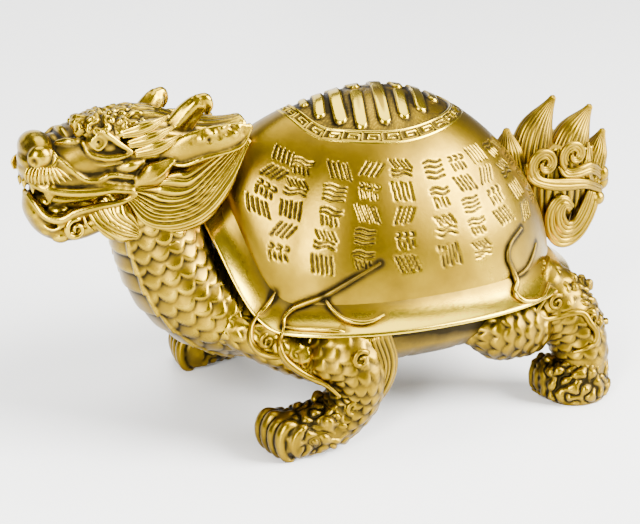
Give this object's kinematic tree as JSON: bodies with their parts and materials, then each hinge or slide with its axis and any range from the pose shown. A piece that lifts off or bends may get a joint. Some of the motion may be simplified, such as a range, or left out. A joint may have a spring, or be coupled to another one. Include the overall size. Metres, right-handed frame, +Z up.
{
  "type": "dragon turtle figure",
  "caption": "Cast brass ornament: a turtle with a dragon's head, a domed shell with a round patterned field on top, scaly legs and an upright flame-shaped tail.",
  "frame": {"origin": "on the ground, under the middle of the figure's bounding box", "axes": "+Z up, -X the way the head points, +X towards the tail, -Y towards the figure's left side"},
  "size_m": [0.2, 0.0998, 0.1061],
  "materials": {
    "cast_brass": "cast, polished on the raised parts, brown in the recesses"
  },
  "bodies": {
    "root": {"dragon_turtle": "cast_brass"}
  },
  "joints": []
}
